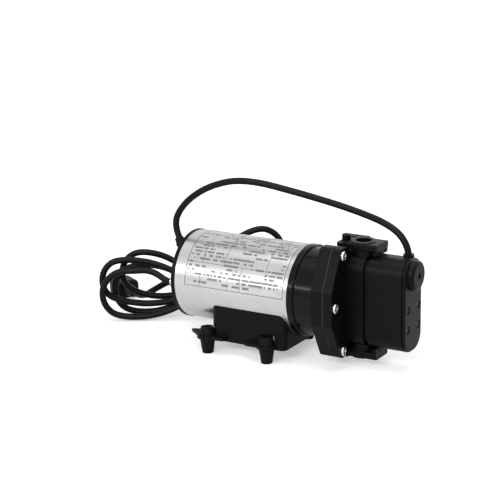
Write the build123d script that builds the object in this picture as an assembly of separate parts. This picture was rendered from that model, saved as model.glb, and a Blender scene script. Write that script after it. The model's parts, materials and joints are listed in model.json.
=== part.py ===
from build123d import *
import math
import os

# Diaphragm pump for a caravan: a mains motor in a cradle on four rubber feet, driving a
# two-chamber pump head with a port at the top and at the bottom, each with its slide clip.
# +X runs along the motor axis towards the head, +Z is up, and z = 0 is the floor.
# The origin is the centre of the foot bolt holes, on the floor.

# Motor body
can_radius = 42.0
can_length = 121.0
can_wall = 1.5
axis_height = 63.0
rear_to_feet_centre = 66.5
cap_plate = 4.5
cap_spigot = 9.0
spigot_clearance = 0.05
cap_lip = 0.5
cap_edge = 1.2
bell_rim_edge = 1.0
bell_rim_length = 6.0
bell_rim_radius = 43.0
bell_radius = 41.0
bell_wall = 3.0
motor_wall = 5.0

# Bearings and shaft
shaft_radius = 4.0
bearing_outer_radius = 11.0
bearing_width = 7.0
shield_groove_depth = 0.6
shield_groove_wall = 2.0
running_gap = 0.03
front_bearing_setback = 10.0
rear_bearing_inset = 1.0

# Rotor and field
armature_length = 56.0
armature_start = 42.0
armature_slots = 12
slot_width = 3.0
slot_depth = 11.0
winding_overhang = 8.0
winding_inner_radius = 8.0
winding_inset = 3.0
air_gap = 0.8
magnet_thickness = 8.0
magnet_bond = 0.7
magnet_arc = 136.0
magnet_overlap = 4.0
commutator_radius = 11.0
commutator_start = 15.0
commutator_length = 14.0
saw_cut_width = 0.6
saw_cut_depth = 1.2
brush_along = 6.0
brush_across = 7.0
brush_length = 13.0
brush_gap = 0.1
brush_holder_wall = 1.6
brush_holder_back = 1.5
brush_spring_radius = 2.2
brush_spring_wire = 0.7
brush_spring_turns = 4
brush_holder_start = 14.5
brush_holder_end = 36.0
brush_spring_gap = 0.2
brush_plate_gap = 0.2
brush_plate_clearance = 3.0
brush_side_gap = 0.05
brush_plate_thickness = 2.5
rectifier_gap = 2.0
rectifier_depth = 6.0
rectifier_width = 15.0
rectifier_height = 16.0
rectifier_inset = 6.5
through_bolt_radius = 2.0
through_bolt_inset = 3.9
through_bolt_head_radius = 3.8
through_bolt_head_height = 2.6
through_bolt_head_edge = 0.8
through_bolt_end_gap = 3.0
bolt_clearance = 0.25

# Pump head
flange_start = 28.0
lower_housing_depth = 11.0
diaphragm_sheet = 1.0
diaphragm_inset = 0.4
diaphragm_hole_gap = 0.2
roll_overlap = 0.6
upper_flange_depth = 9.0
upper_body_depth = 16.0
lug_radius = 6.5
corner_screw_y = 25.0
corner_screw_z = 44.7
side_screw_y = 41.0
side_flat_half = 14.0
scallop_radius = 26.5
scallop_floor = 44.0
head_half_width = 18.0
head_half_height = 43.0
head_corner = 15.0
switch_plate_depth = 4.0
switch_plate_inset = 2.5
switch_housing_depth = 34.0
cover_groove_depth = 1.2
cover_groove_inset = 1.0
cover_depth = 3.5
cover_edge = 2.0

# Wobble drive
tilt = 3.0
cam_radius = 8.5
cam_length = 9.0
race_wall = 1.5
race_groove = 0.6
collar_reach = 0.9
cam_gap = 0.5
cam_bearing_radius = 13.0
wobble_hub_radius = 17.0
wobble_thickness = 4.0
wobble_half_width = 10.0
piston_pitch = 20.0
piston_land = 2.5
piston_radius = 9.5
piston_cap_radius = 9.0
piston_cap_thickness = 2.0
piston_stem_radius = 4.5
piston_screw_radius = 2.0
piston_screw_head_radius = 3.6
piston_screw_head_height = 1.2
chamber_radius = 15.5
chamber_depth = 7.0
drive_cavity_radius = 34.0
roll_thickness = 3.6
roll_inner_radius = 10.6

# Valves and galleries
valve_plate_depth = 4.0
valve_plate_half_width = 13.0
valve_offset = 7.2
valve_radius = 5.0
valve_stem_radius = 1.5
valve_lip = 1.2
valve_hole_radius = 1.1
valve_hole_circle = 3.2
gallery_depth = 10.0
gallery_reach = 36.2
gallery_tail = 26.0
gallery_divider = 3.0
gallery_width = 11.0
port_bore_radius = 7.5
port_barrel_radius = 11.5
port_top = 54.5
port_floor = 36.0

# Slide clips
clip_guide_length = 30.5
clip_guide_back = 12.0
clip_guide_half_width = 12.0
clip_guide_height = 7.1
clip_guide_drop = 0.6
clip_guide_edge = 1.5
clip_stop_thickness = 4.0
clip_stop_height = 10.8
clip_stop_hole_radius = 1.5
clip_stop_hole_y = 5.5
clip_stop_hole_depth = 2.5
clip_stop_hole_drop = 1.2
clip_thickness = 3.0
clip_half_width = 11.0
clip_slot_gap = 0.15
clip_depth_from_top = 2.2
clip_tail_back = 22.5
clip_neck_radius = 9.0
clip_knob_radius = 4.0
clip_knob_back = 17.5
clip_knob_height = 6.0
clip_knob_edge = 1.2
clip_corner = 2.5

# Pressure switch
switch_axis_z = 28.0
switch_boss_radius = 14.0
switch_boss_depth = 5.6
switch_boss_edge = 3.5
pressure_hole_radius = 2.0
pressure_hole_y = 4.0
pressure_hole_z = 24.0
switch_diaphragm_radius = 12.0
switch_diaphragm_thickness = 1.2
plunger_head_radius = 8.0
plunger_head_thickness = 2.0
plunger_stem_radius = 2.5
plunger_length = 15.0
plunger_gap = 0.3
plunger_travel = 1.0
switch_spring_play = 0.1
switch_spring_radius = 5.0
switch_spring_wire = 0.9
switch_spring_turns = 4
plunger_pocket_depth = 11.0
plunger_guide_depth = 2.8
microswitch_depth = 10.0
microswitch_width = 20.0
button_hole_depth = 3.5
microswitch_web = 1.5
microswitch_shelf = 2.5
microswitch_height = 13.0
button_radius = 1.6
button_reach = 1.2
adjuster_radius = 3.0
adjuster_gap = 0.06
adjuster_end_gap = 0.5
adjuster_slot = 1.0
adjuster_slot_depth = 1.4
adjuster_sink = 0.8
switch_wall = 3.0
cover_screw_y = 11.0
cover_screw_top_z = -2.0
cover_screw_low_z = -20.5
cover_screw_radius = 1.6
cover_pillar_radius = 3.2
cover_screw_head_radius = 2.9
cover_recess_radius = 3.7
cover_recess_depth = 2.0
cover_screw_head_height = 1.4
cover_screw_edge = 0.6
cover_screw_reach = 11.0

# Head screws
head_screw_radius = 2.2
head_screw_head_radius = 4.6
head_screw_head_height = 3.0
head_screw_edge = 1.3
head_screw_sink = 1.0
head_screw_land = 1.0
cross_half_length = 3.0
cross_half_width = 0.5
cross_depth = 1.2

# Cradle and feet
cradle_back = -28.5
cradle_front = 50.5
cradle_half_width = 39.0
cradle_top = 46.5
cradle_bottom = 13.0
cradle_shell = 3.0
cradle_corner = 6.0
saddle_gap = 0.05
foot_pitch_x = 64.0
foot_pitch_y = 80.0
foot_hole_radius = 2.6
foot_top = 25.0
foot_top_radius = 7.5
foot_top_taper = 1.2
foot_low_radius = 5.2
foot_groove_radius = 5.0
foot_groove_low = 15.0
ear_thickness = 3.0
ear_radius = 10.0
ear_tab = 22.0
ear_inset = 20.0
ear_overlap = 4.0
ear_outer_reach = 9.0
ear_tab_reach = 7.0
ear_inner_reach = 16.0
cradle_rib_half = 1.5
groove_gap = 0.1
cradle_screw_radius = 2.0
cradle_screw_head_radius = 3.8
cradle_screw_head_height = 2.4
cradle_screw_spacing = 50.0
cradle_screw_reach = 1.8

# Share of a cord's run that each arc beside it takes, and the share of a run at a cord's end
run_share = 0.45
cable_end_share = 0.6

# Switch cable between the motor's rear cap and the switch housing, heights from the motor axis
switch_cable_diameter = 6.3
cable_gap = 0.05
cable_exit_angle = 56.6
cable_boss_radius = 5.6
cable_collar_radius = 4.9
cable_collar_length = 5.0
cable_exit_x = -76.0
cable_exit_y = -14.0
cable_exit_z = 33.0
cable_lead_in = 22.0
cable_lead_out = 17.0
cable_boss_reach = 9.0
cable_boss_length = 14.0
cable_entry_setback = 5.2
cable_entry_y = 7.9
cable_entry_z = 36.2
cable_entry_wall = 1.9
cable_entry_sink = 5.0
cable_entry_run = 15.7
cable_entry_rise = 1.6

# Power cord, hank, tie and plug
power_cord_diameter = 6.4
cord_gland_y = 16.0
cord_gland_z = -22.0
cord_gland_length = 22.0
cord_gland_radius = 6.0
cord_gland_tip_radius = 4.2
cord_gland_flange_radius = 8.0
cord_gland_flange = 2.0
cord_lead_out = 15.0
cord_lead_in = 19.0
hank_step = 7.2
hank_angle = 30.8
hank_waist = (-95.3, 47.3, 30.1)
plug_lead_in = 16.0
hank_half_waist = 4.0
tie_thickness = 1.4
tie_width = 7.0
tie_half_height = 17.0
tie_gap = 1.9
tie_corner = 4.0
plug_length = 34.0
plug_width = 25.0
plug_height = 19.0
plug_tail = 14.0
plug_tail_start_radius = 4.6
plug_tail_end_radius = 7.0
plug_corner = 6.0
plug_shoulder = 3.0
blade_length = 17.0
blade_width = 6.3
blade_thickness = 1.5
blade_pitch = 12.7
blade_rise = 2.0
blade_corner = 1.5
ground_pin_edge = 1.6
ground_pin_radius = 2.4
ground_pin_length = 20.0
ground_pin_drop = 5.5
plug_depth = 54.0

# Label
label_thickness = 0.15
label_gap = 0.1
label_back = 8.0
label_length = 111.0
label_low_angle = -3.0
label_high_angle = 118.0

# Stations along the motor axis
can_rear = -rear_to_feet_centre
can_front = can_rear + can_length
flange_back = can_front + flange_start
diaphragm_back = flange_back + lower_housing_depth
upper_back = diaphragm_back + diaphragm_sheet
flange_front = upper_back + upper_flange_depth
upper_front = flange_front + upper_body_depth
switch_back = upper_front + switch_plate_depth
switch_front = switch_back + switch_housing_depth
cover_front = switch_front + cover_depth
port_x = flange_front + upper_body_depth / 2
rear_bearing_back = can_rear + rear_bearing_inset
front_bearing_back = can_front + front_bearing_setback - bearing_width / 2
armature_back = can_rear + armature_start
commutator_back = can_rear + commutator_start
cam_centre = front_bearing_back + bearing_width + cam_gap + cam_length / 2 + 1.0
can_inner = can_radius - can_wall
magnet_outer = can_inner - magnet_bond
magnet_inner = magnet_outer - magnet_thickness
armature_radius = magnet_inner - air_gap
through_bolt_circle = can_inner - through_bolt_inset

os.makedirs("parts", exist_ok=True)
parts = {}


def rod(radius, x0, x1, y=0.0, z=0.0):
    """Cylinder along X from x0 to x1, y and z counted from the motor axis."""
    return Pos((x0 + x1) / 2, y, axis_height + z) * Rot(0, 90, 0) * Cylinder(radius, x1 - x0)


def ring(outer, inner, x0, x1, y=0.0, z=0.0):
    return rod(outer, x0, x1, y, z) - rod(inner, x0 - 1, x1 + 1, y, z)


def block(x0, x1, y0, y1, z0, z1):
    """Box between two corners, z counted from the motor axis."""
    place = Pos((x0 + x1) / 2, (y0 + y1) / 2, axis_height + (z0 + z1) / 2)
    return place * Box(x1 - x0, y1 - y0, z1 - z0)


def along(radius, start, end, end_radius=None):
    """Cylinder or cone from one point to another."""
    place = Plane(origin=(start + end) * 0.5, z_dir=end - start)
    length = (end - start).length
    if end_radius is None:
        return place * Cylinder(radius, length)
    return place * Cone(radius, end_radius, length)


def post(radius, x, y, z0, z1):
    """Upright cylinder, z counted from the motor axis."""
    return Pos(x, y, axis_height + (z0 + z1) / 2) * Cylinder(radius, z1 - z0)


def face_across(x):
    """Plane square to the axis at x, with its local axes along Y and Z."""
    return Plane(origin=(x, 0, axis_height), x_dir=(0, 1, 0), z_dir=(1, 0, 0))


def slab(sketch, x0, x1):
    return extrude(face_across(x0) * sketch, x1 - x0)


def flange_outline(grow=0.0):
    """Taut outline round the screw lugs, scalloped at the top and bottom to clear the clips."""
    corners = [(side * corner_screw_y, end * corner_screw_z) for side in (-1, 1) for end in (-1, 1)]
    corners += [(side * side_screw_y, end * side_flat_half) for side in (-1, 1) for end in (-1, 1)]
    lugs = [Pos(y, z) * Circle(lug_radius + grow) for y, z in corners]
    outline = make_hull([edge for lug in lugs for edge in lug.edges()])
    for end in (-1, 1):
        outline -= Pos(0, end * (scallop_floor + scallop_radius)) * Circle(scallop_radius - grow)
    return outline


def head_outline(inset=0.0):
    """Upright section of the narrow part of the head, flat-sided with rounded ends."""
    return RectangleRounded(
        2 * (head_half_width - inset), 2 * (head_half_height - inset), head_corner - inset
    )


def tilted(shape):
    """Leans a shape with the cam, about the middle of the cam."""
    pivot = Pos(cam_centre, 0, axis_height)
    return pivot * Rot(0, tilt, 0) * pivot.inverse() * shape


screw_places = [
    (side * corner_screw_y, end * corner_screw_z) for side in (-1, 1) for end in (-1, 1)
] + [(side * side_screw_y, 0.0) for side in (-1, 1)]
bolt_places = [(side * through_bolt_circle, 0.0) for side in (-1, 1)]

# Motor can
parts["motor_can"] = ring(can_radius, can_inner, can_rear, can_front)

# Rear end cap with its bearing pocket
cap_back = can_rear - cap_plate
cap = rod(can_radius + cap_lip, cap_back, can_rear)
cap = chamfer(cap.faces().sort_by(Axis.X)[0].edges(), cap_edge)
cap += rod(can_inner - spigot_clearance, can_rear, can_rear + cap_spigot)
cap -= rod(can_inner - bell_wall, can_rear - 1.0, can_rear + cap_spigot + 1)
bearing_pocket_end = rear_bearing_back + bearing_width
cap += rod(bearing_outer_radius + bell_wall, can_rear - 1.0, bearing_pocket_end)
cap -= rod(bearing_outer_radius + running_gap, rear_bearing_back, bearing_pocket_end + 1)
cap -= rod(shaft_radius + 0.5, can_rear - 0.5, bearing_pocket_end + 1)
for y, z in bolt_places:
    cap -= rod(through_bolt_radius + bolt_clearance, cap_back - 1, can_front, y, z)
rise = math.radians(cable_exit_angle)
cable_direction = Vector(-math.cos(rise), 0, math.sin(rise))
cable_exit = Vector(cable_exit_x, cable_exit_y, axis_height + cable_exit_z)
cable_start = cable_exit - cable_direction * cable_lead_in
cable_boss = along(cable_boss_radius, cable_exit - cable_direction * cable_boss_length, cable_exit)
cap += cable_boss & rod(can_radius, cable_exit_x - cable_boss_reach, can_rear)
cap -= along(
    switch_cable_diameter / 2 + cable_gap,
    cable_start - cable_direction,
    cable_exit + cable_direction,
)
cap -= rod(cord_gland_tip_radius, cap_back - 1, can_rear + 1, cord_gland_y, cord_gland_z)
parts["rear_end_cap"] = cap

# Front bell with the front bearing pocket
bell = rod(bell_rim_radius, can_front, can_front + bell_rim_length)
bell = chamfer(bell.faces().sort_by(Axis.X)[-1].edges(), bell_rim_edge)
bell += rod(bell_radius, can_front, flange_back)
bell += rod(can_inner - spigot_clearance, can_front - cap_spigot, can_front)
bell -= rod(bell_radius - 2 * bell_wall, can_front - cap_spigot - 1, flange_back + 1)
hub_radius = bearing_outer_radius + bell_wall
bell += rod(bell_radius - bell_wall, front_bearing_back - motor_wall, front_bearing_back)
bell += rod(hub_radius, front_bearing_back - motor_wall, front_bearing_back + bearing_width)
bell -= rod(shaft_radius + 1.0, can_front - cap_spigot, flange_back)
bell -= rod(
    bearing_outer_radius + running_gap, front_bearing_back, front_bearing_back + bearing_width + 1
)
for y, z in bolt_places:
    bell -= rod(through_bolt_radius + bolt_clearance, can_rear, flange_back, y, z)
parts["front_bell"] = bell

# Through bolts from the rear cap into the lower housing
bolt_end = flange_back + lower_housing_depth - through_bolt_end_gap
bolts = []
for y, z in bolt_places:
    head = rod(through_bolt_head_radius, cap_back - through_bolt_head_height, cap_back, y, z)
    head = chamfer(head.faces().sort_by(Axis.X)[0].edges(), through_bolt_head_edge)
    bolts.append(head + rod(through_bolt_radius, cap_back, bolt_end, y, z))
parts["through_bolts"] = Compound(bolts)


def bearing(x0):
    body = ring(bearing_outer_radius, shaft_radius + running_gap, x0, x0 + bearing_width)
    for x in (x0, x0 + bearing_width):
        body -= ring(
            bearing_outer_radius - shield_groove_wall,
            shaft_radius + shield_groove_wall,
            x - shield_groove_depth,
            x + shield_groove_depth,
        )
    return body


parts["rear_bearing"] = bearing(rear_bearing_back)
parts["front_bearing"] = bearing(front_bearing_back)

# Field magnets: two arcs bonded inside the can
field_ring = ring(
    magnet_outer,
    magnet_inner,
    armature_back - magnet_overlap,
    armature_back + armature_length + magnet_overlap,
)
for name, up in (("upper_magnet", 1), ("lower_magnet", -1)):
    reach = 2 * can_radius
    half = math.radians(magnet_arc / 2)
    wedge = Polyline(
        (0, 0),
        (reach * math.sin(half), up * reach * math.cos(half)),
        (0, up * 2 * reach),
        (-reach * math.sin(half), up * reach * math.cos(half)),
        close=True,
    )
    sector = slab(make_face(wedge), can_rear, can_front)
    parts[name] = field_ring & sector

# Rotor
shaft_end = cam_centre + cam_length / 2 + 1.0
shaft = rod(shaft_radius, can_rear, shaft_end)
parts["rotor_shaft"] = chamfer(shaft.faces().sort_by(Axis.X)[-1].edges(), 0.5)
core = ring(armature_radius, shaft_radius, armature_back, armature_back + armature_length)
for index in range(armature_slots):
    turn = Pos(0, 0, axis_height) * Rot(index * 360 / armature_slots, 0, 0)
    slot = Box(armature_length + 2, slot_width, slot_depth + 2)
    middle = armature_back + armature_length / 2
    core -= turn * Pos(middle, 0, armature_radius - slot_depth / 2 + 1) * slot
parts["armature_core"] = core
winding_outer = armature_radius - winding_inset
coils = []
for x0, x1 in (
    (armature_back - winding_overhang, armature_back),
    (armature_back + armature_length, armature_back + armature_length + winding_overhang),
):
    coil = ring(winding_outer, winding_inner_radius, x0, x1)
    outer = coil.edges().filter_by(GeomType.CIRCLE).group_by(SortBy.RADIUS)[-1]
    coils.append(fillet(outer, winding_overhang / 3))
parts["armature_windings"] = Compound(coils)
commutator = ring(
    commutator_radius, shaft_radius, commutator_back, commutator_back + commutator_length
)
for index in range(armature_slots):
    turn = Pos(0, 0, axis_height) * Rot(index * 360 / armature_slots, 0, 0)
    saw_cut = Pos(commutator_back + commutator_length / 2, 0, commutator_radius)
    commutator -= turn * saw_cut * Box(commutator_length + 2, saw_cut_width, 2 * saw_cut_depth)
parts["commutator"] = commutator

# Brush gear
brush_x = commutator_back + commutator_length / 2
brush_plate_back = commutator_back + commutator_length + 0.5
plate = ring(
    can_inner - brush_plate_gap,
    commutator_radius + brush_plate_clearance,
    brush_plate_back,
    brush_plate_back + brush_plate_thickness,
)
for y, z in bolt_places:
    plate -= rod(through_bolt_radius + bolt_clearance, can_rear, can_front, y, z)
holder_half = brush_across / 2 + brush_side_gap
outer_half = holder_half + brush_holder_wall
x_half = brush_along / 2 + brush_side_gap
for up in (-1, 1):
    lows = sorted((up * brush_holder_start, up * brush_holder_end))
    holder = block(brush_x - x_half - brush_holder_back, brush_plate_back, -outer_half, outer_half, *lows)
    cut = sorted((up * (brush_holder_start - 1), up * (brush_holder_end - brush_holder_back)))
    holder -= block(brush_x - x_half, brush_x + x_half, -holder_half, holder_half, *cut)
    plate += holder
parts["brush_plate"] = plate
brush_start = commutator_radius + brush_gap
spring_end = brush_holder_end - brush_holder_back
for name, up in (("upper", 1), ("lower", -1)):
    ends = sorted((up * brush_start, up * (brush_start + brush_length)))
    half_x = brush_along / 2
    half_y = brush_across / 2
    parts[f"{name}_brush"] = block(brush_x - half_x, brush_x + half_x, -half_y, half_y, *ends)
    base = brush_start + brush_length + brush_spring_gap
    pitch = (spring_end - base - 2 * brush_spring_wire) / brush_spring_turns
    coil_path = Helix(pitch, brush_spring_turns * pitch, brush_spring_radius)
    start = Plane(origin=coil_path @ 0, z_dir=coil_path % 0)
    spring = sweep(start * Circle(brush_spring_wire / 2), path=coil_path, is_frenet=True)
    lift = Pos(brush_x, 0, axis_height + up * (base + 0.5))
    parts[f"{name}_brush_spring"] = lift * Rot(0 if up > 0 else 180, 0, 0) * spring

# Rectifier potted beside the brush gear
rectifier_back = can_rear + cap_spigot + rectifier_gap
rectifier_side = -(can_inner - rectifier_inset)
parts["rectifier"] = block(
    rectifier_back,
    rectifier_back + rectifier_depth,
    rectifier_side,
    rectifier_side + rectifier_width,
    -rectifier_height / 2,
    rectifier_height / 2,
)

# Bare rating label on the near side of the can
label = ring(
    can_radius + label_gap + label_thickness,
    can_radius + label_gap,
    can_rear + label_back,
    can_rear + label_back + label_length,
)
low = math.radians(label_low_angle)
high = math.radians(label_high_angle)
far = 3 * can_radius
label_wedge = Polyline(
    (0, 0),
    (-far * math.cos(low), far * math.sin(low)),
    (-far, far),
    (-far * math.cos(high), far * math.sin(high)),
    close=True,
)
parts["rating_label"] = label & slab(make_face(label_wedge), can_rear, can_front)

# Slot that each slide clip runs in
slot_low = port_top - clip_depth_from_top - clip_thickness - clip_slot_gap
slot_high = port_top - clip_depth_from_top + clip_slot_gap

# Lower housing round the wobble drive
lower = slab(flange_outline(), flange_back, diaphragm_back)
lower -= rod(drive_cavity_radius, flange_back - 1, diaphragm_back + 1)
for up in (-1, 1):
    lower -= rod(chamber_radius, flange_back - 1, diaphragm_back + 1, 0, up * piston_pitch)
for y, z in bolt_places:
    lower -= rod(through_bolt_radius, flange_back - 1, bolt_end, y, z)
for y, z in screw_places:
    lower -= rod(head_screw_radius, flange_back + 2, diaphragm_back + 1, y, z)
parts["lower_housing"] = lower

# Wobble drive, built leaning with the cam
journal = tilted(rod(cam_radius, cam_centre - cam_length / 2, cam_centre + cam_length / 2))
collar = rod(cam_radius - race_wall, cam_centre - cam_length / 2 - collar_reach, cam_centre)
parts["wobble_cam"] = journal + collar - rod(shaft_radius, can_rear, shaft_end + 1)
race_half = bearing_width / 2
race = ring(cam_bearing_radius, cam_radius, cam_centre - race_half, cam_centre + race_half)
for x in (cam_centre - race_half, cam_centre + race_half):
    race -= ring(cam_bearing_radius - race_wall, cam_radius + race_wall, x - race_groove, x + race_groove)
parts["cam_bearing"] = tilted(race)
pad_back = upper_back - diaphragm_sheet
web_front = cam_centre + race_half + race_wall
web_back = web_front - wobble_thickness
wobble = rod(wobble_hub_radius, cam_centre - race_half, web_front)
wobble += block(
    web_back,
    web_front,
    -wobble_half_width,
    wobble_half_width,
    -piston_pitch - piston_stem_radius,
    piston_pitch + piston_stem_radius,
)
wobble -= rod(cam_bearing_radius + running_gap, cam_centre - race_half - 1, cam_centre + race_half + 0.2)
wobble -= rod(cam_radius + race_wall, cam_centre, web_front + 1)
for up in (-1, 1):
    wobble -= rod(piston_screw_radius, web_back - 1, web_front + 1, 0, up * piston_pitch)
parts["wobble_plate"] = tilted(wobble)
piston_screws = []
for name, up in (("upper", 1), ("lower", -1)):
    z = up * piston_pitch
    piston = rod(piston_stem_radius, web_front, pad_back - 2.0, 0, z)
    piston += rod(piston_radius, pad_back - piston_land, pad_back, 0, z)
    piston -= rod(piston_screw_radius, web_front - 1, pad_back + 1, 0, z)
    parts[f"{name}_piston"] = tilted(piston)
    cap_start = pad_back + diaphragm_sheet
    cap_end = cap_start + piston_cap_thickness
    piston_cap = ring(piston_cap_radius, piston_screw_radius, cap_start, cap_end, 0, z)
    parts[f"{name}_piston_cap"] = tilted(piston_cap)
    shank = rod(piston_screw_radius, web_back, cap_end, 0, z)
    head = rod(piston_screw_head_radius, cap_end, cap_end + piston_screw_head_height, 0, z)
    piston_screws.append(tilted(shank + head))
parts["piston_screws"] = Compound(piston_screws)

# Rubber diaphragm: rim clamped between the housings, one roll and pad for each piston
sheet = slab(flange_outline(-diaphragm_inset), diaphragm_back, upper_back)
roll_middle = (diaphragm_back + upper_back) / 2
for y, z in screw_places:
    sheet -= rod(head_screw_radius + diaphragm_hole_gap, diaphragm_back - 1, upper_back + 1, y, z)
for up in (-1, 1):
    z = up * piston_pitch
    sheet -= rod(chamber_radius - 1.0, diaphragm_back - 1, upper_back + 1, 0, z)
for up in (-1, 1):
    z = up * piston_pitch
    roll_back = roll_middle - roll_thickness / 2
    roll_front = roll_back + roll_thickness
    roll = ring(chamber_radius - roll_overlap, roll_inner_radius, roll_back, roll_front, 0, z)
    pad = ring(roll_inner_radius + 1.0, piston_screw_radius, pad_back, upper_back, 0, z)
    sheet += roll + tilted(pad)
parts["diaphragm"] = sheet

# Valve plate with an inlet and an outlet valve for each chamber
plate_back = upper_back + chamber_depth
plate_front = plate_back + valve_plate_depth
plate_half_height = piston_pitch + chamber_radius
valve_plate = block(
    plate_back,
    plate_front,
    -valve_plate_half_width,
    valve_plate_half_width,
    -plate_half_height,
    plate_half_height,
)
for up in (-1, 1):
    for side in (-1, 1):
        y = side * valve_offset
        z = up * piston_pitch
        valve_plate -= rod(valve_stem_radius, plate_back - 1, plate_front + 1, y, z)
        for index in range(6):
            angle = math.radians(60 * index)
            hole_y = y + valve_hole_circle * math.cos(angle)
            hole_z = z + valve_hole_circle * math.sin(angle)
            valve_plate -= rod(valve_hole_radius, plate_back - 1, plate_front + 1, hole_y, hole_z)
parts["valve_plate"] = valve_plate
inlets = []
outlets = []
for up in (-1, 1):
    z = up * piston_pitch
    inlet = rod(valve_radius, plate_back - valve_lip, plate_back, -valve_offset, z)
    inlets.append(inlet + rod(valve_stem_radius, plate_back, plate_front, -valve_offset, z))
    outlet = rod(valve_radius, plate_front, plate_front + valve_lip, valve_offset, z)
    outlets.append(outlet + rod(valve_stem_radius, plate_back, plate_front, valve_offset, z))
parts["inlet_valves"] = Compound(inlets)
parts["outlet_valves"] = Compound(outlets)

# Upper housing with the chambers, the galleries and both ports
upper = slab(flange_outline(), upper_back, flange_front)
upper += slab(head_outline(), upper_back, upper_front)
guide_start = port_x - clip_guide_back
guide_end = guide_start + clip_guide_length
for up in (-1, 1):
    ends = sorted((up * (head_half_height - 2), up * port_top))
    upper += post(port_barrel_radius, port_x, 0, *ends)
    guide_low = port_top - clip_guide_height
    guide_ends = sorted((up * guide_low, up * (port_top - clip_guide_drop)))
    half = clip_guide_half_width
    guide = block(guide_start, guide_end, -half, half, *guide_ends)
    upper += fillet(guide.edges().filter_by(Axis.X), clip_guide_edge)
    stop_ends = sorted((up * (port_top - clip_stop_height), up * (guide_low + 1)))
    stop = block(guide_end - clip_stop_thickness, guide_end, 1 - half, half - 1, *stop_ends)
    for side in (-1, 1):
        hole_z = up * (guide_low - clip_stop_hole_drop)
        hole_y = side * clip_stop_hole_y
        hole_start = guide_end - clip_stop_hole_depth
        stop -= rod(clip_stop_hole_radius, hole_start, guide_end + 1, hole_y, hole_z)
    upper += stop
slot_end = port_x + port_barrel_radius + 2.0
for up in (-1, 1):
    ends = sorted((up * slot_low, up * slot_high))
    slot_half = clip_half_width + clip_slot_gap
    cut = block(guide_start - 9, slot_end, -slot_half, slot_half, *ends)
    upper -= cut - post(clip_neck_radius - clip_slot_gap, port_x, 0, *ends)
    bore_ends = sorted((up * port_floor, up * (port_top + 1)))
    upper -= post(port_bore_radius, port_x, 0, *bore_ends)
    upper -= rod(chamber_radius, upper_back - 1, plate_back, 0, up * piston_pitch)
upper -= block(
    plate_back,
    plate_front,
    -valve_plate_half_width,
    valve_plate_half_width,
    -plate_half_height,
    plate_half_height,
)
gallery_low = gallery_divider / 2
for side, up in ((-1, -1), (1, 1)):
    ys = sorted((side * gallery_low, side * (gallery_low + gallery_width)))
    zs = sorted((up * gallery_reach, -up * gallery_tail))
    upper -= block(plate_front, plate_front + gallery_depth, *ys, *zs)
for y, z in screw_places:
    upper -= rod(head_screw_radius, upper_back - 1, flange_front + 1, y, z)
    land_radius = head_screw_head_radius + head_screw_land
    upper -= rod(land_radius, flange_front - head_screw_sink, flange_front + 1, y, z)
upper -= rod(
    pressure_hole_radius, plate_front, upper_front + 1, pressure_hole_y, pressure_hole_z
)
parts["upper_housing"] = upper

# Six screws clamp both housings; their round heads face forward
screws = []
for y, z in screw_places:
    seat = flange_front - head_screw_sink
    top = seat + head_screw_head_height
    head = rod(head_screw_head_radius, seat, top, y, z)
    head = fillet(head.faces().sort_by(Axis.X)[-1].edges(), head_screw_edge)
    for long, wide in ((cross_half_length, cross_half_width), (cross_half_width, cross_half_length)):
        head -= block(top - cross_depth, top + 1, y - long, y + long, z - wide, z + wide)
    screws.append(head + rod(head_screw_radius, flange_back + 2, seat, y, z))
parts["head_screws"] = Compound(screws)

# Slide clips that lock the pipe fittings in the ports
for name, up in (("top", 1), ("bottom", -1)):
    tail = port_x - clip_tail_back
    nose = slot_end - clip_slot_gap - 0.5
    low = port_top - clip_depth_from_top - clip_thickness
    high = port_top - clip_depth_from_top
    ends = sorted((up * low, up * high))
    clip = block(tail, nose, -clip_half_width, clip_half_width, *ends)
    clip = fillet(clip.edges().filter_by(Axis.Z), clip_corner)
    clip -= post(clip_neck_radius, port_x, 0, *ends)
    clip -= block(port_x, nose + 1, -clip_neck_radius, clip_neck_radius, *ends)
    knob_ends = sorted((up * high, up * (high + clip_knob_height)))
    knob = post(clip_knob_radius, port_x - clip_knob_back, 0, *knob_ends)
    tip = knob.faces().sort_by(Axis.Z)[-1 if up > 0 else 0]
    clip += fillet(tip.edges(), clip_knob_edge)
    parts[f"{name}_port_clip"] = clip

# Switch plate: the dark recessed seam ahead of the upper housing
seam = slab(head_outline(switch_plate_inset), upper_front, switch_back)
seam -= rod(
    pressure_hole_radius, upper_front - 1, switch_back + 1, pressure_hole_y, pressure_hole_z
)
parts["switch_plate"] = seam

# Switch housing, hollow for the switch gear
housing = slab(head_outline(), switch_back, switch_front)
inner = slab(head_outline(switch_wall), switch_back + switch_wall, switch_front + 1)
housing -= inner
seat_radius = switch_diaphragm_radius + switch_wall
pocket_end = switch_back + plunger_pocket_depth
seat = rod(seat_radius, switch_back, pocket_end + plunger_guide_depth, 0, switch_axis_z)
housing += seat & slab(head_outline(), switch_back, switch_front)
housing -= rod(switch_diaphragm_radius, switch_back - 1, pocket_end, 0, switch_axis_z)
guide_radius = plunger_stem_radius + adjuster_gap
housing -= rod(guide_radius, switch_back, pocket_end + plunger_guide_depth + 1, 0, switch_axis_z)
head_back = switch_back + switch_diaphragm_thickness + cable_gap
plunger_end = head_back + plunger_length
micro_back = plunger_end + plunger_travel + button_reach + plunger_gap
micro_low = switch_axis_z - microswitch_height / 2
shelf_half = head_half_width - switch_wall + 0.5
micro_front = micro_back + microswitch_depth
shelf_low = micro_low - microswitch_shelf
housing += block(micro_back, micro_front, -shelf_half, shelf_half, shelf_low, micro_low)
entry_x = switch_front - cable_entry_setback
entry_radius = switch_cable_diameter / 2
housing += post(
    entry_radius + cable_entry_wall, entry_x, cable_entry_y,
    head_half_height - cable_entry_sink, head_half_height + cable_entry_rise,
)
housing -= post(
    entry_radius + cable_gap, entry_x, cable_entry_y, cable_entry_z, head_half_height + 2
)
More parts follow.
